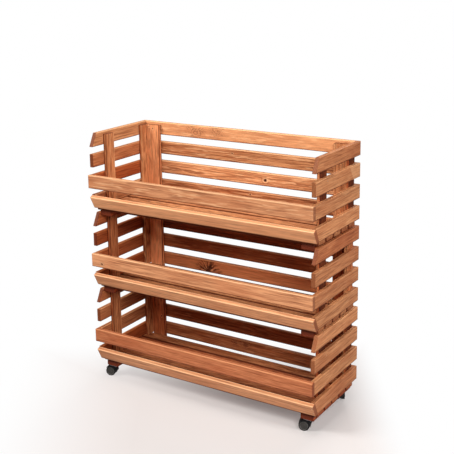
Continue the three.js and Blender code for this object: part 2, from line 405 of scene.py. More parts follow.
def yearly_rings(tree, grain, timber, shifts):
    """How dark the late wood is, from the distance to the heart of the tree."""
    seed, heart_across, heart_through = timber
    across = reckon(tree, "SUBTRACT", grain[1], heart_across)
    through = reckon(tree, "SUBTRACT", grain[2], heart_through)
    growth = grain_noise(tree, grain, seed, wobble_scale, coarse_detail)
    ripple = grain_noise(tree, grain, seed, ripple_scale, fine_detail)
    radius = total(tree, length_of(tree, across, through), swing_of(tree, growth, ring_wobble),
                   swing_of(tree, ripple, ripple_depth))
    radius = reckon(tree, "MULTIPLY_ADD", grain[0], ring_drift_per_metre, radius)
    radius = total(tree, radius, *shifts)
    ring = reckon(tree, "FRACT", reckon(tree, "DIVIDE", radius, ring_spacing))
    dark_wood = output_of(tree, "ShaderNodeValToRGB", {0: ring}, "Color")
    stops = dark_wood.node.color_ramp.elements
    while len(stops) < len(late_wood_stops):
        stops.new(middle_grey)
    for stop, (place, value) in zip(stops, late_wood_stops):
        stop.position = place
        stop.color = (value, value, value, 1)
    return dark_wood


print("ring spacing, millimetres:", round(ring_spacing / millimetre, 1))
print("late wood stops:", len(late_wood_stops))

# %% [markdown]
# The stain
#
# A rubbed-on stain isn't even. It goes darker into the soft early wood, leaves pale flecks and
# short dark dashes along the fibres, and dries in blotches. It soaks into sawn ends. Each edge
# carries a dark line or a pale band: the dark line is partly stain gathered where a board meets
# its neighbour and partly painted shade, and the pale band is partly stain rubbed thin on edges
# that stand free and partly a painted highlight. Besides its own stain, a board's tone holds
# painted light and shade: above one it pales the wood as a painted highlight, and below one it
# turns it deeper and redder as painted shade. One flat colour with noise would be shorter, but
# each of these layers can be seen in the photograph by itself, so each one is a share and a
# colour, laid over the last in turn.

# %% Stain the wood
fibre_scale = (15, 250, 250)
fleck_scale = (15, 140, 140)
blotch_scale = (5, 14, 14)
dash_scale = (9, 210, 210)
dash_limits = (0.56, 0.66)
dash_weight = 0.5
fleck_limits = (0.53, 0.66)
blotch_limits = (0.42, 0.68)
blotch_weight = 0.5
base_share = 0.22
end_darkness = 0.7
pale_edge_share = 0.75
# Painted light: boards with a tone above one are paled towards a light, washed-out colour, as if strongly
# lit.
painted_light_limits = (1.0, 1.5)
painted_light_share = 0.5
painted_light_colour = (0.76, 0.37, 0.18, 1)
# Painted shade: boards with a tone below one, and the boards listed for it, are tinted deeper and redder, as
# wood in shade looks.
painted_shade_red_limits = (1.0, 0.66)
painted_shade_red_tint = (0.94, 0.48, 0.31, 1)
# A pale patch beyond a slanted dark line on one slat.
slant_line_width = 2.2 * millimetre


def stain_colour(tree, stain, figure, marks, late_wood, noises, surface):
    """The colour of the stained wood with its fibres, flecks, blotches and knots."""
    pale, dark, blush, fleck_colour = stain
    ring_strength, fibre_weight, streak_weight, fleck_weight = figure
    fibre, streak, fleck, blotch, dash = noises
    tone_and_painted_light, sawn_end, edge_wear_and_light = surface
    dark_share = reckon(tree, "MULTIPLY_ADD", late_wood, ring_strength, base_share)
    dark_share = total(tree, dark_share, swing_of(tree, fibre, fibre_weight),
                       swing_of(tree, streak, streak_weight))
    dark_share.node.use_clamp = True
    past_slant_line, slant_patch_share, own_painted_shade_red = read_attribute(tree, "slant_patch_and_shade_red")
    off_slant_line = reckon(tree, "ABSOLUTE", past_slant_line)
    layers = (
        (rise(tree, blotch, *blotch_limits, blotch_weight), blush),
        (rise(tree, fleck, *fleck_limits, fleck_weight), fleck_colour),
        (rise(tree, dash, *dash_limits, dash_weight), dark),
        # Painted highlight on boards with a tone above one.
        (rise(tree, tone_and_painted_light, *painted_light_limits, painted_light_share), painted_light_colour),
        *marks,
        # The edge marks: a pale band for wear and painted highlight, a dark line for gathered stain and
        # painted shade.
        (rise(tree, edge_wear_and_light, 0, 1, pale_edge_share), fleck_colour),
        (rise(tree, edge_wear_and_light, 0, -1), dark),
        (product(tree, sawn_end, end_darkness), dark),
        # The slanted dark line and the pale patch beyond it.
        (product(tree, rise(tree, past_slant_line, 0, slant_line_width), slant_patch_share), fleck_colour),
        (product(tree, rise(tree, off_slant_line, slant_line_width, 0), slant_patch_share), dark),
    )
    colour = blend_colours(tree, dark_share, pale, dark)
    for share, layer in layers:
        colour = blend_colours(tree, share, colour, layer)
    # Painted shade turns dark tones and the listed boards deeper and redder.
    painted_shade_red_share = reckon(tree, "MAXIMUM", rise(tree, tone_and_painted_light, *painted_shade_red_limits), own_painted_shade_red)
    colour = blend_colours(tree, painted_shade_red_share, colour, painted_shade_red_tint, "MULTIPLY")
    return reckon_vector(tree, "SCALE", {0: colour, "Scale": tone_and_painted_light})


print("deepest soak below a tone of:", painted_shade_red_limits[1])

# %% Put the pine finish together
curl_depth = 26 * millimetre
curl_lines = 6
curl_line_width = 0.15
curl_darkness = 0.38
knot_colour = (0.055, 0.016, 0.007, 1)
ring_boost = 0.55
bump_depth = 0.4 * millimetre
bump_strength = 0.55
fibre_bump_share = 0.6
pine_gloss = 0.2
roughness_swing = 0.18


def add_bump(tree, shader, height, strength, depth):
    inputs = {"Height": height, "Strength": strength, "Distance": depth}
    feed(tree, shader.inputs["Normal"], output_of(tree, "ShaderNodeBump", inputs))


def pine_finish(name, stain, roughness, figure, streak_scale):
    ring_weight, fibre_weight, streak_weight, fleck_weight = figure
    finish, tree, shader = new_finish(name)
    grain = read_attribute(tree, "grain")
    timber = read_attribute(tree, "timber")
    seed = timber[0]
    first_core, second_core, rayed = read_attribute(tree, "knot_looks")
    first_eye, second_eye, _ = read_attribute(tree, "knot_eyes")
    ring_share, streak_share, fleck_share = read_attribute(tree, "figure")
    growth = grain_noise(tree, grain, seed, knot_noise_scale, coarse_detail)
    first_push, core, collar, first_distance = knot_marks(tree, "first_knot", first_core, growth)
    second_push, other_core, other_collar, second_distance = knot_marks(
        tree, "second_knot", second_core, growth)
    nearest = reckon(tree, "MINIMUM", first_distance, second_distance)
    near_knot = rise(tree, nearest, knot_reach, 1)
    curl = product(tree, swing_of(tree, growth, curl_depth), near_knot)
    late_wood = yearly_rings(tree, grain, timber, (curl, first_push, second_push))
    off_crest = off_middle(tree, growth, curl_lines, 0)
    curl_share = product(tree, rise(tree, off_crest, curl_line_width, 0, curl_darkness), near_knot)
    knot_shares = (
        other_core,
        knot_rays(tree, "first_knot", first_distance, seed, rayed),
        curl_share,
        knot_eye(tree, first_distance, first_eye),
        knot_eye(tree, second_distance, second_eye),
    )
    marks = [(collar, stain[-1]), (core, knot_colour), (other_collar, stain[-1])]
    marks += [(share, knot_colour) for share in knot_shares]
    scales = (fibre_scale, streak_scale, fleck_scale, blotch_scale, dash_scale)
    details = (fine_detail, fine_detail, coarse_detail, coarse_detail, coarse_detail)
    noises = [grain_noise(tree, grain, seed, scale, detail) for scale, detail in zip(scales, details)]
    ring_strength = product(tree, ring_share, ring_weight)
    ring_strength = reckon(tree, "MULTIPLY_ADD", near_knot, ring_boost, ring_strength)
    weights = (ring_strength, fibre_weight, product(tree, streak_share, streak_weight),
               product(tree, fleck_share, fleck_weight))
    surface = read_attribute(tree, "surface")
    feed_all(tree, shader, {
        "Base Color": stain_colour(tree, stain, weights, marks, late_wood, noises, surface),
        "Roughness": reckon(tree, "MULTIPLY_ADD", noises[0], roughness_swing, roughness),
        "Specular IOR Level": pine_gloss,
    })
    relief = reckon(tree, "MULTIPLY_ADD", noises[0], fibre_bump_share, late_wood)
    add_bump(tree, shader, relief, bump_strength, bump_depth)
    return finish


print("bump depth, millimetres:", round(bump_depth / millimetre, 2))

# %% Mix the three stains
slat_stain = ((0.64, 0.28, 0.12, 1), (0.17, 0.042, 0.012, 1), (0.40, 0.125, 0.045, 1), (0.86, 0.50, 0.26, 1))
rail_stain = ((0.65, 0.292, 0.138, 1), (0.19, 0.052, 0.02, 1), (0.44, 0.145, 0.058, 1), (0.86, 0.50, 0.27, 1))
frame_stain = ((0.62, 0.25, 0.10, 1), (0.15, 0.034, 0.009, 1), (0.40, 0.12, 0.04, 1), (0.84, 0.46, 0.22, 1))
planed_streaks = (5, 150, 150)
sawn_streaks = (26, 150, 150)
planed_roughness = 0.45
sawn_roughness = 0.58
slat_figure = (0.7, 1.5, 2.2, 0.46)
rail_figure = (0.45, 1.3, 2.2, 0.36)
frame_figure = (0.16, 1.9, 3.2, 0.35)

pine = {
    "slat_wood": pine_finish("slat pine", slat_stain, planed_roughness, slat_figure, planed_streaks),
    "rail_wood": pine_finish("rail pine", rail_stain, planed_roughness, rail_figure, planed_streaks),
    "frame_wood": pine_finish("frame pine", frame_stain, sawn_roughness, frame_figure, sawn_streaks),
}
print("stains:", ", ".join(pine))

# %% [markdown]
# One board
#
# A sawn board is never a perfect block: its arrises are eased with a plane, its ends are cut by
# hand and its faces wander by a few tenths of a millimetre. A cube with a Bevel modifier would be
# quick, but it can carry no grain of its own. So each board is swept here: a rounded outline is
# carried along the board through many stations, a little smaller or larger at each, and every
# point notes how far it lies along, across and through the board. A board's shading says how pale
# or dark its edges and sides are, from wear and stain and from painted highlight and painted
# shade, the tones of its two faces, which can darken a face with painted shade, how dark its sawn
# ends are and how fast a face's tone fades into the board.

# %% Sweep a board
arris = 1.1 * millimetre
edge_band = 3.5 * millimetre
arris_steps = 3
wander = 0.28 * millimetre
wave_range = (0.8, 2.4)
planing_loss = 0.12 * millimetre
stations = 16
long_faces = 4
full_turn = 2 * math.pi
# Shading: edges, for the low and the high edge, runs from -1, a dark line of gathered stain and painted
# shade, to +1, a pale band of wear and painted highlight; sides is the same on the narrow sides; faces are
# the tones of the two faces, where painted shade goes; ends darken the sawn ends; falloff says how fast a
# face's tone fades inwards.
Shading = collections.namedtuple("Shading", "edges sides faces ends falloff")
plain_shading = Shading(edges=(-1, 1), sides=0, faces=(1, 1), ends=1, falloff=1)
end_rings = ((0, 3, 1, 0), (0, 0.7, 1, 1), (0.3, 0.2, 0.9, 1), (0.9, 0, 0.6, 1), (2.8, 0, 0, 1), (8, 0, 0, 1))


def rounded_outline(width, thickness, inset, edges, sides):
    """Points round a board's section, as across, through and edge marks of wear, stain and painted light."""
    radius = max(arris - inset / 2, planing_loss)
    points = []
    corners = (
        (width - inset - radius, inset + radius, -math.pi / 2, 0, sides),
        (width - inset - radius, thickness - inset - radius, 0, sides, 0),
        (inset + radius, thickness - inset - radius, math.pi / 2, 0, sides),
        (inset + radius, inset + radius, math.pi, sides, 0),
    )
    for across, through, first_angle, side_shade_before, side_shade_after in corners:
        start = Vector((math.cos(first_angle), math.sin(first_angle)))
        finish = Vector((-start.y, start.x))
        centre = Vector((across, through))
        points.append((*(centre + start * radius - finish * edge_band), side_shade_before))
        edge_wear_and_light = edges[1] if across > width / 2 else edges[0]
        for step in range(arris_steps + 1):
            angle = first_angle + step / arris_steps * math.pi / 2
            outwards = Vector((math.cos(angle), math.sin(angle)))
            points.append((*(centre + outwards * radius), edge_wear_and_light))
        points.append((*(centre + finish * radius - start * edge_band), side_shade_after))
    return points


def board_stations(length):
    """Places along a board with their inset, how much they show the sawn end, and how much their edge marks
    of wear and painted light show.
    """
    near = [(place * millimetre, inset * millimetre, end, edge_marks_here) for place, inset, end, edge_marks_here in end_rings]
    far = [(length - place, inset, end, edge_marks_here) for place, inset, end, edge_marks_here in reversed(near)]
    start = near[-1][0]
    step = (length - 2 * start) / (stations + 1)
    middle = [(start + (index + 1) * step, 0, 0, 1) for index in range(stations)]
    return near + middle + far


def turn_outwards(mesh):
    shell = bmesh.new()
    shell.from_mesh(mesh)
    bmesh.ops.recalc_face_normals(shell, faces=shell.faces)
    for face in shell.faces:
        face.smooth = True
    shell.to_mesh(mesh)
    shell.free()


def sweep_board(name, origin, directions, size, seed, lean=(0, 0), shading=plain_shading):
    """A board from its low corner, its three directions and its length, width and thickness."""
    length, width, thickness = size
    dice = random.Random(seed)
    phases = [dice.uniform(0, full_turn) for _ in range(long_faces)]
    waves = [dice.uniform(*wave_range) * full_turn / length for _ in range(long_faces)]
    rings = []
    for place, inset, end, edge_marks_here in board_stations(length):
        low_side, high_side, under, over = (
            planing_loss + wander * (math.sin(wave * place + phase) + 1) / 2
            for wave, phase in zip(waves, phases))
        ring = []
        for across, through, edge_wear_and_light in rounded_outline(width, thickness, inset, shading.edges, shading.sides):
            across = low_side + across / width * (width - low_side - high_side)
            through = under + through / thickness * (thickness - under - over)
            lean_here = lean[0] + (lean[1] - lean[0]) * across / width
            along = planing_loss + place * (length - 2 * planing_loss) / length
            along += lean_here * (1 - place / length)
            ring.append((along, across, through, end, edge_wear_and_light * edge_marks_here))
        rings.append(ring)
    ring_length = len(rings[0])
    points = np.array([point for ring in rings for point in ring])
    last = len(points) - ring_length
    panels = [tuple(reversed(range(ring_length)))]
    for low in range(0, last, ring_length):
        high = low + ring_length
        for index in range(ring_length):
            following = (index + 1) % ring_length
            panels.append((low + index, low + following, high + following, high + index))
    panels.append(tuple(range(last, len(points))))
    places = np.array(origin) + points[:, :3] @ np.array([tuple(axis) for axis in directions])
    mesh = bpy.data.meshes.new(name)
    mesh.from_pydata([tuple(place) for place in places], [], panels)
    turn_outwards(mesh)
    write_grain(name, mesh, points, size, dice, shading)
    return add_object(name, mesh)


print("stations along a board:", stations + 2 * len(end_rings))

# %% [markdown]
# The boards that catch the eye
#
# Some boards of the picture can be told by their marks: a twig split lengthwise, a knot with rings
# round it, a pale patch beyond a slanted dark line, a board that is paler in painted light or deeper
# and redder in painted shade. They are set down here by the names of their nodes, with lengths in
# metres from a board's low corner. Chance could place such marks too, as it does with the knots of
# a few other boards, but not where the picture has them.

# %% Set down the special boards
special_knots = {
    "top_back_slat_1": ((0.2375, 0.022, 0.0155, 0, 0, 1), (0.331, 0.032, 0.012, 0, 0, 0.7)),
    "top_back_slat_2": ((0.401, 0.034, 0.003, 0.8, 0, 0),),
    "top_back_slat_3": ((0.543, 0.0225, 0.0052, 1, 0, 0),),
    "top_back_slat_4": ((0.478, 0.037, 0.003, 0.8, 0, 0),),
    "middle_back_slat_4": ((0.284, 0.004, 0.0105, 0.9, 1, 0),),
    "middle_front_rail_upper": ((0.0475, 0.015, 0.004, 0.7, 0, 0),),
    "bottom_back_slat_4": ((0.449, 0.0335, 0.008, 0.35, 0, 0.5), (0.402, 0.03, 0.006, 0.2, 0, 0.4)),
    "top_left_rear_board": ((0.2755, 0.012, 0.0024, 1, 0, 0), (0.268, 0.03, 0.0026, 1, 0, 0)),
}
# Tones of single boards: they hold stain differences, painted shade on boards inside the lower crates and
# under others, and painted light on boards that face the light.
crate_tones_and_painted_light = {
    "front_rail_upper": (0.97, 1.04, 0.82),
    "front_rail_lower": (1.28, 1.18, 1.1),
    "left_rear_board": (1.27, 1.52, 1.12),
    "right_rear_board": (1.0, 0.6, 0.55),
    "left_front_corner_board": (1.06, 0.86, None),
    "right_front_corner_board": (None, None, 0.7),
}
slat_tones_and_painted_light = {
    "top_back_slat": (1.22, 1.0, 1.2, None),
    "middle_back_slat": (0.62, 0.57, 0.8, 1.22),
    "bottom_back_slat": (0.66, 0.72, 0.78, 0.95),
    "top_left_slat": (1.0, 0.84, 0.68, None),
    "middle_left_slat": (0.76, 0.58, 0.74, 0.6),
    "bottom_left_slat": (0.82, 0.86, 0.86, 0.6),
    "top_right_slat": (0.9, None, 0.94, None),
    "middle_right_slat": (0.83, None, None, 0.94),
    "bottom_right_slat": (1.1, 0.94, 0.97, 0.9),
}
tones_and_painted_light = {f"{crate}_{label}": tone for label, tones in crate_tones_and_painted_light.items()
                 for crate, tone in zip(("top", "middle", "bottom"), tones) if tone}
tones_and_painted_light |= {f"{wall}_{row}": tone for wall, tones in slat_tones_and_painted_light.items()
                  for row, tone in enumerate(tones, 1) if tone}
# Boards inside the crates that get a red painted shade of their own.
painted_shade_reds = {
    "middle_back_slat_4": 0.45,
    "bottom_back_slat_4": 0.5,
    "top_left_rear_board": 0.16,
    "middle_left_rear_board": 0.3,
    "bottom_left_rear_board": 0.6,
}
special_figures = {
    "left_slat": (0.25, 0.35, 0.4),
    "right_slat": (0.2, 0.3, 0.35),
    "top_back_slat_1": (0.15, 0.35, 0.9),
    "top_back_slat_3": (1.3, 0.8, 1.3),
    "top_front_rail_upper": (0.1, 0.5, 1.2),
    "middle_front_rail_upper": (0.15, 0.7, 0.3),
    "front_rail_lower": (0.1, 0.4, 0.2),
    "middle_front_rail_lower": (0.25, 0.55, 0.3),
    "middle_back_slat_4": (0.2, 0.4, 0.1),
    "bottom_front_rail_upper": (0.25, 0.4, 0.5),
}
special_timber = {"top_back_slat_3": (31.4, 0.022, -0.016)}
# Where the slanted line crosses a slat: its foot along the board, its lean and its share.
slanted_pale_patches = {"top_right_slat_2": (0.2846, -0.6, 0.24)}
print("boards with a tone of their own:", len(tones_and_painted_light))

# %% [markdown]
# A board's notes
#
# Each board draws its own place in the tree, its tone, its figure and perhaps a knot by chance,
# from a number that stays the same, so the rack looks the same each time. All of it is written on
# the points of the mesh, where the finish reads it. A material for each board would do as well,
# but there would be over eighty of them.

# %% Give a board its place in the tree
heart_across_range = (-0.02, 0.07)
heart_depth_range = (0.012, 0.075)
seed_range = (0, 90)
brightness_range = (0.86, 1.12)
ring_share_range = (0.1, 1.0)
streak_share_range = (0.6, 1.2)
knot_chance = 0.35
knot_size_range = (0.003, 0.0065)
core_share_range = (0.4, 1.0)
knot_edge_gap = 0.012
clear_boards = (
    "left_slat", "right_slat", "corner_board", "bottom_front_rail", "bottom_back_slat", "batten")
far_away = 50
Knot = collections.namedtuple("Knot", "along across radius core rays eyes")
no_knot = Knot(far_away, far_away, millimetre, 0, 0, 0)
no_slant_patch = (far_away, 0, 0)


def write_vectors(mesh, name, rows):
    """Writes a row of three numbers for each point, or one row for all points."""
    layer = mesh.attributes.new(name, "FLOAT_VECTOR", "POINT")
    rows = np.broadcast_to(np.asarray(rows, np.float32), (len(mesh.vertices), 3))
    layer.data.foreach_set("vector", rows.ravel())


def in_columns(*parts):
    return np.stack(np.broadcast_arrays(*parts), axis=1)


def write_grain(name, mesh, points, size, dice, shading):
    """Notes for every point of a board where it sat in the tree and what is special there."""
    length, width, thickness = size
    heart_side = dice.choice((-1, 1))
    heart_through = thickness / 2 + heart_side * (thickness / 2 + dice.uniform(*heart_depth_range))
    timber = (dice.uniform(*seed_range), dice.uniform(*heart_across_range), heart_through)
    tone_and_painted_light = dice.uniform(*brightness_range)
    # A listed tone replaces the random one, and it holds painted light and shade.
    tone_and_painted_light = tones_and_painted_light.get(name, tone_and_painted_light)
    knots = [Knot(*values) for values in special_knots.get(name, ())]
    clear = any(label in name for label in clear_boards)
    if not knots and not clear and dice.random() < knot_chance:
        knots.append(Knot(dice.uniform(0, length), dice.uniform(knot_edge_gap, width - knot_edge_gap),
                          dice.uniform(*knot_size_range), dice.uniform(*core_share_range), 0, 0))
    first, second = (knots + [no_knot, no_knot])[:2]
    figure = (dice.uniform(*ring_share_range), dice.uniform(*streak_share_range), 1)
    for label, special_figure in special_figures.items():
        if label in name:
            figure = special_figure
    along, across, through, end, edge_wear_and_light = points.T
    under, over = shading.faces
    depth_share = through / thickness
    near_under = (1 - depth_share) ** shading.falloff
    near_over = depth_share ** shading.falloff
    # Faces darkened by the shading get painted shade.
    tones = tone_and_painted_light * (1 + (under - 1) * near_under + (over - 1) * near_over)
    slant_line_foot, slant_line_lean, slant_patch_share = slanted_pale_patches.get(name, no_slant_patch)
    past_slant_line = along - slant_line_foot - slant_line_lean * across
    notes = {
        "grain": points[:, :3],
        "timber": special_timber.get(name, timber),
        "surface": in_columns(tones, end * shading.ends, edge_wear_and_light),
        "figure": figure,
        "first_knot": in_columns(along - first.along, across - first.across, first.radius),
        "second_knot": in_columns(along - second.along, across - second.across, second.radius),
        "knot_looks": (first.core, second.core, first.rays),
        "knot_eyes": (first.eyes, second.eyes, 0),
        "slant_patch_and_shade_red": in_columns(past_slant_line, slant_patch_share, painted_shade_reds.get(name, 0)),
    }
    for layer_name, rows in notes.items():
        write_vectors(mesh, layer_name, rows)


print("chance of a knot in a board:", knot_chance)

# %% [markdown]
# The walls and the rails
#
# Each crate has four slats on the back and on both sides and two rails in front. The imported model
# gives the box of each one, so a board starts in its low corner and fills it. The top and lowest
# side slats are cut on the slant in front, and the lower rail leans by the same slant. Inside the
# crate a slat keeps its own tone, which holds painted shade on the shaded boards and painted light
# on the lit ones, and outside the walls share one, as the picture shows. Copying one slat twelve
# times would be quicker, but then every board would show the same knots.

# %% Build the slats and rails
rightwards = (1, 0, 0)
backwards = (0, 1, 0)
upwards = (0, 0, 1)
slant_run = 25 * millimetre
slat_width = 50 * millimetre
slat_thickness = 15 * millimetre
slant_angle = math.atan2(slant_run, slat_width)
up_the_rail = (0, -math.sin(slant_angle), math.cos(slant_angle))
through_the_rail = (0, math.cos(slant_angle), math.sin(slant_angle))
slat_rows = (1, 2, 3, 4)
front_cuts = {1: (0, slant_run), 4: (slant_run, 0)}
sides = {"left": -1, "right": 1}
outside_tone = 0.98
# Right wall slats: a dark line below of gathered stain and painted shade, and a narrow pale band on top of
# wear and painted highlight.
right_wall_edges = (-1, 0.3)
left_wall_ends = 1.35
lower_rail_ends = 1.35
crate_bodies = {"bottom": "rack", "middle": "middle_crate", "top": "top_crate"}
first_seed = 101
board_seeds = itertools.count(first_seed)


def settle(piece, body, node=None, finish=None):
    """Gives a piece its finish and the body it moves with, and hides the node it stands for."""
    if finish:
        piece.data.materials.clear()
        piece.data.materials.append(finish)
    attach(piece, body)
    if node:
        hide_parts(node)


def wall_board(name, body, slot, origin, directions, size, lean=(0, 0), shading=plain_shading):
    """A slat or rail, swept under the name of its node so that its special marks find it."""
    board = sweep_board(name, origin, directions, size, next(board_seeds), lean, shading)
    board.name = f"{name}_board"
    settle(board, body, name, pine[slot])


def fill_box(name, body, slot, directions, order, lean=(0, 0), shading=plain_shading):
    """A board that fills its node's box, with the box's axes in the order of its own directions."""
    low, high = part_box(name)
    extent = high - low
    wall_board(name, body, slot, low, directions, [extent[axis] for axis in order], lean, shading)


def wall_shading(name, wall):
    """The inside of a wall keeps its board's tone, with the painted light and shade that it holds, and the
    outside gets a tone that all boards share.
    """
    outside = outside_tone / tones_and_painted_light.get(name, outside_tone)
    faces = {"back": (1, outside), "left": (outside, 1), "right": (1, 1)}[wall]
    edges = right_wall_edges if wall == "right" else plain_shading.edges
    ends = left_wall_ends if wall == "left" else plain_shading.ends
    return plain_shading._replace(edges=edges, faces=faces, ends=ends)


for crate, body in crate_bodies.items():
    for row in slat_rows:
        name = f"{crate}_back_slat_{row}"
        fill_box(name, body, "slat_wood", (rightwards, upwards, backwards), (0, 2, 1),
                 shading=wall_shading(name, "back"))
        for side in sides:
            name = f"{crate}_{side}_slat_{row}"
            fill_box(name, body, "slat_wood", (backwards, upwards, rightwards), (1, 2, 0),
                     front_cuts.get(row, (0, 0)), wall_shading(name, side))
    fill_box(f"{crate}_front_rail_upper", body, "rail_wood", (rightwards, upwards, backwards), (0, 2, 1))
    name = f"{crate}_front_rail_lower"
    low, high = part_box(name)
    foot = (low.x, low.y + slat_width * math.sin(slant_angle), low.z)
    wall_board(name, body, "rail_wood", foot, (rightwards, up_the_rail, through_the_rail),
               (high.x - low.x, slat_width, slat_thickness),
               shading=plain_shading._replace(ends=lower_rail_ends))

# %% [markdown]
# The frame inside each crate
#
# Under the slats sits a frame: two battens below, a slatted floor on them and six corner boards
# that the walls are nailed to. The imported model holds it as one piece, and here every board of it
# is made apart. The battens and the corner boards are swept like the slats, with their grain
# running the way the real ones do. The face that a corner board turns to the wall gets a painted
# shade, much darker near the gaps, since the rendered shadow alone would be too weak. The battens
# get a painted shade too.

# %% Build the battens and corner boards
batten_width = 50 * millimetre
batten_thickness = 19 * millimetre
batten_rear_gap = 2 * millimetre
nest_side_gap = 1.5 * millimetre
floor_thickness = 15 * millimetre
post_thickness = 14 * millimetre
front_post_width = 47 * millimetre
front_post_setback = 63 * millimetre
rear_side_width = 47 * millimetre
rear_back_width = 60 * millimetre
# Painted shade on the face of a corner board that turns to the wall.
wall_face_painted_shade = 0.18
# Front corner boards: a darker front edge and a paler rear edge, wear and stain with painted shade and
# painted highlight.
front_post_edges = (-0.8, 0.6)
# Corner and rear boards: painted shade on the wall face, and a pale band on one edge and a dark line on the
# other, wear and stain with painted highlight and painted shade.
right_post = plain_shading._replace(edges=(0.4, -1), faces=(1, wall_face_painted_shade), falloff=4)
left_post = right_post._replace(faces=(wall_face_painted_shade, 1))
# Battens: painted shade on both faces, deepest on the top face under the floor.
batten_look = plain_shading._replace(edges=(-1, -1), faces=(0.74, 0.5), ends=1.2)
# One corner board's wall face gets a lighter painted shade.
special_faces = {"middle_right_rear_corner_board": (1, 0.75)}

floor_seats = {}
for crate, body in crate_bodies.items():
    low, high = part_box(f"{crate}_crate_frame")
    wall_low, wall_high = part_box(f"{crate}_right_slat_2")
    wall_x = wall_low.x
    back_y = wall_high.y - slat_thickness
    seat_z = low.z + batten_thickness
    floor_z = low.z + batten_thickness + floor_thickness
    post_height = high.z - floor_z
    post_y = wall_low.y + front_post_setback
    floor_seats[crate] = (low.x, low.y, seat_z)
    for side, sign in sides.items():
        batten_x = wall_x - nest_side_gap - batten_width if sign > 0 else -wall_x + nest_side_gap
        post_x = wall_x - post_thickness if sign > 0 else -wall_x
        back_x = post_x - rear_back_width if sign > 0 else post_x + post_thickness
        post_look = right_post if sign > 0 else left_post
        parts = (
            ("batten", (batten_x, low.y, low.z), (backwards, rightwards, upwards),
             (back_y - batten_rear_gap - low.y, batten_width, batten_thickness), batten_look),
            ("front_corner_board", (post_x, post_y, floor_z), (upwards, backwards, rightwards),
             (post_height, front_post_width, post_thickness), post_look._replace(edges=front_post_edges)),
            ("rear_corner_board", (post_x, back_y - rear_side_width, floor_z),
             (upwards, backwards, rightwards), (post_height, rear_side_width, post_thickness), post_look),
            ("rear_board", (back_x, back_y - post_thickness, seat_z), (upwards, rightwards, backwards),
             (post_height + floor_thickness, rear_back_width, post_thickness), right_post),
        )
        for label, origin, directions, size, look in parts:
            name = f"{crate}_{side}_{label}"
            look = look._replace(faces=special_faces.get(name, look.faces))
            board = sweep_board(name, origin, directions, size, next(board_seeds), shading=look)
            settle(board, body, finish=pine["frame_wood"])

# %% [markdown]
# The slatted floor
#
# The five floor slats follow a rule: one slat, repeated at an even pitch. That is work for
# Geometry Nodes, where the number and the pitch stay open as named inputs. The tree also moves
# each copy to another place in the tree trunk, so the copies differ in grain and in tone.

# %% Helpers for geometry nodes
def new_tree(name, inputs):
    """A tree with its named inputs, and the sockets its nodes read them from."""
    tree = bpy.data.node_groups.new(name, "GeometryNodeTree")
    for label, kind in {"Geometry": "Geometry", **inputs}.items():
        tree.interface.new_socket(label, in_out="INPUT", socket_type=f"NodeSocket{kind}")
    tree.interface.new_socket("Geometry", in_out="OUTPUT", socket_type="NodeSocketGeometry")
    return tree, tree.nodes.new("NodeGroupInput").outputs


def end_tree(tree, geometry, finish):
    stained = output_of(tree, "GeometryNodeSetMaterial", {"Geometry": geometry, "Material": finish})
    feed(tree, tree.nodes.new("NodeGroupOutput").inputs[0], stained)


def keep_result(piece, modifier):
    """Keeps what a modifier makes of a piece as a plain mesh, without the modifier."""
    graph = bpy.context.evaluated_depsgraph_get()
    plain = bpy.data.meshes.new_from_object(piece.evaluated_get(graph))
    piece.modifiers.remove(modifier)
    piece.data = plain


def run_tree(piece, tree, values):
    """Runs a tree on a piece with its inputs set by name."""
    modifier = piece.modifiers.new(tree.name, "NODES")
    modifier.node_group = tree
    for item in tree.interface.items_tree:
        if item.in_out == "INPUT" and item.name in values:
            modifier[item.identifier] = values[item.name]
    keep_result(piece, modifier)


def store(tree, geometry, name, kind, domain, value):
    inputs = {"Name": name, "Geometry": geometry, "Value": value}
    return output_of(tree, "GeometryNodeStoreNamedAttribute", inputs, data_type=kind, domain=domain)


def named(tree, name, kind="FLOAT_VECTOR"):
    return output_of(tree, "GeometryNodeInputNamedAttribute", {"Name": name}, "Attribute", data_type=kind)


def chance(tree, inputs):
    return output_of(tree, "FunctionNodeRandomValue", inputs, "Value", data_type="FLOAT")


def copies_on(tree, inputs):
    return output_of(tree, "GeometryNodeInstanceOnPoints", inputs)


def made_real(tree, copies):
    return output_of(tree, "GeometryNodeRealizeInstances", {0: copies})


print("geometry helpers ready")

# %% Repeat the floor slats
floor_slat_count = 5
floor_gap = 7.7 * millimetre
floor_rear_gap = 3 * millimetre
# Floor slats: dark edges of gathered stain and painted shade, narrow sides in painted shade for the dark gaps
# between them, and undersides in painted shade.
floor_look = plain_shading._replace(edges=(-1, -1), sides=-1, faces=(0.8, 1), ends=0.65)
# The floor slats' sawn ends are darker in the upper crates than in the lowest one: end grain and painted
# shade.
bottom_floor_ends = 0.5
trunk_step = (13.7, 0.011, 0.0)
tone_swing = 0.2

slat_tree, given = new_tree("repeated slats", {
    "Slats": "Int", "Pitch": "Float", "Tone swing": "Float", "Seed": "Int", "Finish": "Material"})
line = {"Count": given["Slats"], "Offset": vector_of(slat_tree, 0, given["Pitch"])}
slat_places = output_of(slat_tree, "GeometryNodeMeshLine", line, mode="OFFSET")
copies = copies_on(slat_tree, {"Points": slat_places, "Instance": given["Geometry"]})
order = output_of(slat_tree, "GeometryNodeInputIndex", {})
numbered = store(slat_tree, copies, "slat_number", "FLOAT", "INSTANCE", order)
number = named(slat_tree, "slat_number", "FLOAT")
shift = reckon_vector(slat_tree, "SCALE", {0: trunk_step, "Scale": number})
moved = reckon_vector(slat_tree, "ADD", {0: named(slat_tree, "timber"), 1: shift})
varied = store(slat_tree, made_real(slat_tree, numbered), "timber", "FLOAT_VECTOR", "POINT", moved)
draw = chance(slat_tree, {"ID": number, "Seed": given["Seed"]})
centred = reckon(slat_tree, "SUBTRACT", draw, middle_grey)
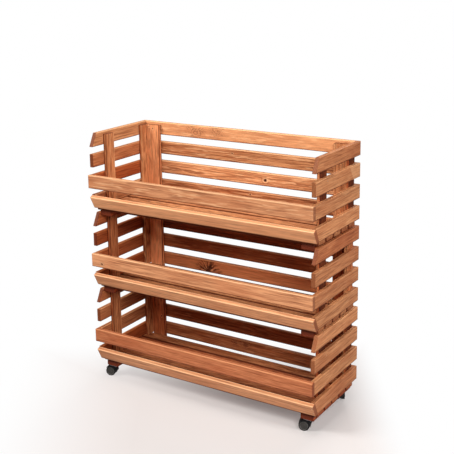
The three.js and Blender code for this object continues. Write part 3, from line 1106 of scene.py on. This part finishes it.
tone = reckon(slat_tree, "MULTIPLY_ADD", centred, given["Tone swing"], 1)
tones = vector_of(slat_tree, tone, 1, 1)
toned = reckon_vector(slat_tree, "MULTIPLY", {0: named(slat_tree, "surface"), 1: tones})
end_tree(slat_tree, store(slat_tree, varied, "surface", "FLOAT_VECTOR", "POINT", toned), given["Finish"])

for crate, body in crate_bodies.items():
    node = f"{crate}_crate_frame"
    low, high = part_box(node)
    wall_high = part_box(f"{crate}_right_slat_2")[1]
    floor_depth = wall_high.y - slat_thickness - post_thickness - floor_rear_gap - low.y
    floor_width = (floor_depth - (floor_slat_count - 1) * floor_gap) / floor_slat_count
    seed = next(board_seeds)
    look = floor_look._replace(ends=bottom_floor_ends) if crate == "bottom" else floor_look
    slats = sweep_board(f"{crate}_floor_slats", floor_seats[crate], (rightwards, backwards, upwards),
                        (high.x - low.x, floor_width, floor_thickness), seed, shading=look)
    run_tree(slats, slat_tree, {
        "Slats": floor_slat_count,
        "Pitch": floor_width + floor_gap,
        "Tone swing": tone_swing,
        "Seed": seed,
        "Finish": pine["frame_wood"],
    })
    settle(slats, body, node)
print("points in one slatted floor:", len(slats.data.vertices))

# %% [markdown]
# The nails
#
# Every slat is nailed to the boards behind it, two nails to each crossing, driven just below the
# face. Their places follow from the boards, and one small domed head is put on each place by
# Geometry Nodes, turned to face out of its board. Several hundred heads modelled one by one would
# be slow work, and a picture of a nail would look flat from the side.

# %% Mark the nail places
nail_insets = (13 * millimetre, 37 * millimetre)
nail_scatter = 2.5 * millimetre
nail_sink = 0.5 * millimetre
end_nail_gap = 7.5 * millimetre
floor_nail_insets = (12 * millimetre, 38 * millimetre)


def scattered(dice):
    return dice.uniform(-nail_scatter, nail_scatter)


def nail_pair(dice, base, facing, across, onwards, insets):
    """Two nails at their insets onwards from a base, each straying a little both ways."""
    nails = []
    for inset in insets:
        place = np.array(base) + scattered(dice) * np.array(across)
        place += (inset + scattered(dice)) * np.array(onwards)
        nails.append((tuple(place), facing))
    return nails


def wall_nails(crate, dice):
    """Places and directions of the nails in the walls of one crate."""
    nails = []
    for row in slat_rows:
        for side, sign in sides.items():
            low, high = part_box(f"{crate}_{side}_slat_{row}")
            face_x = high.x - nail_sink if sign > 0 else low.x + nail_sink
            crossings = (
                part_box(f"{crate}_{side}_slat_2")[0].y + front_post_setback + front_post_width / 2,
                high.y - slat_thickness - rear_side_width / 2,
                high.y - end_nail_gap,
            )
            for crossing in crossings:
                nails += nail_pair(dice, (face_x, crossing, low.z), (sign, 0, 0), backwards, upwards,
                                   nail_insets)
        low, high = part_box(f"{crate}_back_slat_{row}")
        for sign in (-1, 1):
            nail_x = sign * (high.x - post_thickness - rear_back_width / 2)
            nails += nail_pair(dice, (nail_x, high.y - nail_sink, low.z), backwards, rightwards, upwards,
                               nail_insets)
    return nails


def rail_nails(crate, dice):
    """Places and directions of the nails through the ends of both front rails."""
    nails = []
    out_of_rail = -Vector(through_the_rail)
    upper_low, upper_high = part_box(f"{crate}_front_rail_upper")
    lower_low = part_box(f"{crate}_front_rail_lower")[0]
    foot_y = lower_low.y + slat_width * math.sin(slant_angle)
    for sign in (-1, 1):
        nail_x = sign * (upper_high.x - end_nail_gap)
        foot = Vector((nail_x, foot_y, lower_low.z))
        for inset in nail_insets:
            upper = (nail_x, upper_low.y + nail_sink, upper_low.z + inset + scattered(dice))
            nails.append((upper, (0, -1, 0)))
            lower = foot + Vector(up_the_rail) * (inset + scattered(dice)) - out_of_rail * nail_sink
            nails.append((tuple(lower), tuple(out_of_rail)))
    return nails


def floor_nails(crate, dice):
    """Places and directions of the nails through the floor slats into the battens."""
    nails = []
    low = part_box(f"{crate}_crate_frame")[0]
    batten_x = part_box(f"{crate}_right_slat_2")[0].x - nest_side_gap - batten_width / 2
    top = low.z + batten_thickness + floor_thickness
    for index in range(floor_slat_count):
        edge = low.y + index * (floor_width + floor_gap)
        for sign in (-1, 1):
            nails += nail_pair(dice, (sign * batten_x, edge, top - nail_sink), upwards, rightwards,
                               backwards, floor_nail_insets)
    return nails


nails_by_body = {}
for index, (crate, body) in enumerate(crate_bodies.items()):
    dice = random.Random(index + 1)
    nails_by_body[body] = wall_nails(crate, dice) + rail_nails(crate, dice) + floor_nails(crate, dice)
print("nails in a crate:", len(nails_by_body["rack"]))

# %% [markdown]
# Steel for the nails
#
# Bright nails in a stained crate dull a little and pick up some of the stain. A metal with a fine
# noise in its roughness and in its colour shows this. A plain grey metal would shine too evenly.

# %% Make the metal finish
nail_colours = ((0.72, 0.55, 0.42, 1), (0.33, 0.21, 0.15, 1))
zinc_colours = ((0.42, 0.43, 0.45, 1), (0.20, 0.20, 0.215, 1))
tarnish_scale = 260
metal_roughness = 0.32
speckle_swing = 0.3


def object_place(tree):
    return output_of(tree, "ShaderNodeTexCoord", {}, "Object")


def speckled_finish(name, colours, scale, limits, roughness):
    """A finish with two colours and a roughness that follow one noise."""
    finish, tree, shader = new_finish(name)
    speckle = noise_at(tree, object_place(tree), scale, fine_detail)
    feed_all(tree, shader, {
        "Base Color": blend_colours(tree, rise(tree, speckle, *limits), *colours),
        "Roughness": reckon(tree, "MULTIPLY_ADD", speckle, speckle_swing, roughness),
    })
    return finish, tree, shader


def metal_finish(name, colours):
    finish, _, shader = speckled_finish(name, colours, tarnish_scale, blotch_limits, metal_roughness)
    shader.inputs["Metallic"].default_value = 1
    return finish


nail_steel = metal_finish("nail steel", nail_colours)
zinc = metal_finish("zinc plate", zinc_colours)
print("metals:", nail_steel.name, "and", zinc.name)

# %% Drive the nails
head_shape = {"Segments": 10, "Rings": 6, "Radius": 0.5}
nail_head_diameter = 5 * millimetre
nail_dome_height = 0.45 * millimetre
nail_unevenness = 0.25 * millimetre

head_tree, given = new_tree("domed heads", {
    "Diameter": "Float", "Dome height": "Float", "Uneven depth": "Float", "Seed": "Int",
    "Finish": "Material"})
ball = output_of(head_tree, "GeometryNodeMeshUVSphere", head_shape)
both_sides = product(head_tree, given["Dome height"], 2)
flat_size = vector_of(head_tree, given["Diameter"], given["Diameter"], both_sides)
dome = output_of(head_tree, "GeometryNodeTransform", {"Geometry": ball, "Scale": flat_size})
drop = product(head_tree, chance(head_tree, {"Seed": given["Seed"]}), given["Uneven depth"], -1)
facing = named(head_tree, "facing")
inward = reckon_vector(head_tree, "SCALE", {0: facing, "Scale": drop})
sunk = output_of(head_tree, "GeometryNodeSetPosition", {"Geometry": given["Geometry"], "Offset": inward})
turn = output_of(head_tree, "FunctionNodeAlignRotationToVector", {"Vector": facing}, axis="Z")
heads = made_real(head_tree, copies_on(head_tree, {"Points": sunk, "Instance": dome, "Rotation": turn}))
smooth_heads = output_of(head_tree, "GeometryNodeSetShadeSmooth", {"Geometry": heads})
end_tree(head_tree, smooth_heads, given["Finish"])


def drive_heads(name, body, places, diameter, dome_height, uneven_depth, finish):
    """Domed heads on a list of places and directions, as one piece."""
    mesh = bpy.data.meshes.new(name)
    mesh.from_pydata([place for place, _ in places], [], [])
    write_vectors(mesh, "facing", [facing for _, facing in places])
    piece = add_object(name, mesh)
    run_tree(piece, head_tree, {
        "Diameter": diameter,
        "Dome height": dome_height,
        "Uneven depth": uneven_depth,
        "Seed": len(places),
        "Finish": finish,
    })
    settle(piece, body)
    return piece


for body, places in nails_by_body.items():
    nails = drive_heads(f"{body}_nails", body, places, nail_head_diameter, nail_dome_height,
                        nail_unevenness, nail_steel)
print("faces in the nails of one crate:", len(nails.data.polygons))

# %% [markdown]
# The castors
#
# Each castor has a steel plate, a black hood that swivels under it and two wheels on one axle. The
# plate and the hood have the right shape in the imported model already, but their edges are sharp.
# A copy of each gets a narrow bevel, which catches the light as a moulded edge does. Modelling
# them again would only bring in differences. The plastic has a very fine pebbled skin and a little
# dust. One flat black would be simpler, but it would look like a hole in the picture.

# %% Make the moulded finishes
hood_colours = ((0.006, 0.006, 0.0065, 1), (0.022, 0.021, 0.02, 1))
tyre_colours = ((0.005, 0.005, 0.005, 1), (0.012, 0.011, 0.011, 1))
disc_colours = ((0.036, 0.034, 0.031, 1), (0.052, 0.049, 0.046, 1))
# The pale colour of the bead is a painted highlight on the wheel's rim.
rim_highlight_colours = ((0.11, 0.105, 0.1, 1), (0.17, 0.16, 0.155, 1))
dust_scale = 55
dust_limits = (0.48, 0.8)
pebble_scale = 2600
pebble_depth = 0.05 * millimetre
pebble_strength = 0.4
moulded_roughness = 0.38
moulded_gloss = 0.2


def moulded_finish(name, colours):
    finish, tree, shader = speckled_finish(name, colours, dust_scale, dust_limits, moulded_roughness)
    shader.inputs["Specular IOR Level"].default_value = moulded_gloss
    pebble = noise_at(tree, object_place(tree), pebble_scale, coarse_detail)
    add_bump(tree, shader, pebble, pebble_strength, pebble_depth)
    return finish


black_plastic = moulded_finish("black moulded hood", hood_colours)
tyre_plastic = moulded_finish("dark tyre", tyre_colours)
disc_plastic = moulded_finish("grey wheel disc", disc_colours)
rim_highlight_plastic = moulded_finish("wheel rim painted highlight", rim_highlight_colours)
print("moulded finishes:", black_plastic.name, tyre_plastic.name, disc_plastic.name, rim_highlight_plastic.name)

# %% Soften the plates and hoods
weld_distance = 0.01 * millimetre
flat_limit = math.radians(1)
bevel_limit = math.radians(38)
smooth_limit = math.radians(32)
plate_softening = 0.3 * millimetre
hood_softening = 0.5 * millimetre
softening_steps = 2
castor_names = ("front_left", "front_right", "rear_left", "rear_right")


def smooth(mesh):
    for face in mesh.polygons:
        face.use_smooth = True
    mesh.set_sharp_from_angle(angle=smooth_limit)


def softened_copy(node, name, softening):
    """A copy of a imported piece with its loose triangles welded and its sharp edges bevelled."""
    shell = bmesh.new()
    shell.from_mesh(frame["nodes"][node].data)
    bmesh.ops.remove_doubles(shell, verts=shell.verts, dist=weld_distance)
    bmesh.ops.dissolve_limit(shell, angle_limit=flat_limit, verts=shell.verts, edges=shell.edges)
    mesh = bpy.data.meshes.new(name)
    shell.to_mesh(mesh)
    shell.free()
    piece = add_object(name, mesh)
    bevel = piece.modifiers.new("softened edges", "BEVEL")
    bevel.width = softening
    bevel.segments = softening_steps
    bevel.limit_method = "ANGLE"
    bevel.angle_limit = bevel_limit
    keep_result(piece, bevel)
    smooth(piece.data)
    return piece


for place in castor_names:
    node = f"{place}_castor_plate"
    plate = softened_copy(node, f"{place}_plate", plate_softening)
    settle(plate, "rack", node, zinc)
    node = f"{place}_castor_housing"
    hood = softened_copy(node, f"{place}_hood", hood_softening)
    settle(hood, f"{place}_swivel", node, black_plastic)
print("faces in one hood:", len(hood.data.polygons))

# %% [markdown]
# The wheels
#
# A wheel is a turned form, so its outline is spun round the axle. Spinning keeps the tread truly
# round and lets the outline hold the small steps that a moulded wheel has: a rounded tread, a rim,
# a sunk grey disc with a narrow bead round it, coloured pale as a painted highlight on the rim, and
# a raised hub. A cylinder would have none of these.

# %% Turn the wheels
wheel_steps = 48
tyre_outline = (
    (3.0, 4.35), (5.5, 4.35), (6.2, 5.0), (15.2, 5.0), (15.9, 4.45), (17.4, 4.4), (18.3, 4.7), (18.8, 5.5),
    (18.95, 7.0), (18.95, 13.1), (18.8, 14.6), (18.3, 15.4), (17.4, 15.75), (15.0, 15.75), (14.3, 15.6),
    (13.9, 15.2), (13.6, 14.4), (0.0, 14.4),
)
disc_outline = (
    (0.0, 14.3), (13.5, 14.3), (13.45, 14.75), (13.0, 14.95), (9.5, 15.0), (8.8, 14.85), (6.0, 14.85),
    (5.3, 15.0), (5.0, 15.5), (4.4, 15.72), (2.0, 15.75), (0.0, 15.7),
)
rim_highlight_outline = (
    (0.0, 14.2), (14.8, 14.2), (15.1, 15.2), (14.9, 15.7), (14.3, 15.75), (13.7, 15.4), (13.6, 14.28),
    (0.0, 14.28),
)
angles = [full_turn * step / wheel_steps for step in range(wheel_steps)]


def turn_outline(name, outline, axle_matrix):
    """Spins an outline of radius and width pairs, in millimetres, round the axle into a closed shell."""
    shell = bmesh.new()
    rings = []
    for radius, width in outline:
        rings.append([shell.verts.new((radius * millimetre * math.cos(angle),
                                       radius * millimetre * math.sin(angle),
                                       width * millimetre)) for angle in (angles if radius else [0])])
    for first, second in zip(rings, rings[1:]):
        for index in range(wheel_steps):
            following = (index + 1) % wheel_steps
            corners = (first[index % len(first)], first[following % len(first)],
                       second[following % len(second)], second[index % len(second)])
            shell.faces.new(list(dict.fromkeys(corners)))
    bmesh.ops.recalc_face_normals(shell, faces=shell.faces)
    mesh = bpy.data.meshes.new(name)
    shell.to_mesh(mesh)
    shell.free()
    mesh.transform(axle_matrix)
    smooth(mesh)
    return add_object(name, mesh)


joints = {joint["name"]: joint for joint in frame["joints"]}
mirrored_tyre = tuple((radius, -width) for radius, width in reversed(tyre_outline))
for place in castor_names:
    spin = joints[f"{place}_wheel_spin"]
    axle = Vector(spin["axis"])
    body = f"{place}_wheel_pair"
    wheel_centre = Matrix.Translation(Vector(spin["pos_m"]))
    outer_side, inner_side = (
        wheel_centre @ axis.to_track_quat("Z", "X").to_matrix().to_4x4() for axis in (axle, -axle))
    tyres = turn_outline(f"{place}_tyres", mirrored_tyre + tyre_outline, outer_side)
    settle(tyres, body, f"{place}_castor_wheels", tyre_plastic)
    for label, matrix in (("outer", outer_side), ("inner", inner_side)):
        disc = turn_outline(f"{place}_{label}_disc", disc_outline, matrix)
        settle(disc, body, finish=disc_plastic)
        # A pale ring round each disc: a painted highlight on the rim.
        rim_highlight = turn_outline(f"{place}_{label}_bead", rim_highlight_outline, matrix)
        settle(rim_highlight, body, finish=rim_highlight_plastic)
print("faces in one pair of tyres:", len(tyres.data.polygons))

# %% [markdown]
# The screws under the plates
#
# Four screws hold each plate to its batten. They are the same domed heads as the nails, wider and
# higher, so the same tree makes them with other inputs. They look down from the plate's underside.

# %% Put in the screws
screw_spacing = 28 * millimetre
screw_head_diameter = 7 * millimetre
screw_dome_height = 1.3 * millimetre
plate_thickness = 2 * millimetre

screw_places = []
for place in castor_names:
    plate_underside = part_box(f"{place}_castor_plate")[1].z - plate_thickness
    swivel_x, swivel_y, _ = joints[f"{place}_castor_swivel"]["pos_m"]
    for x_sign, y_sign in corner_signs:
        x = swivel_x + x_sign * screw_spacing / 2
        y = swivel_y + y_sign * screw_spacing / 2
        screw_places.append(((x, y, plate_underside), (0, 0, -1)))
drive_heads("castor_screws", "rack", screw_places, screw_head_diameter, screw_dome_height, 0.0, zinc)
print("castor screws:", len(screw_places))
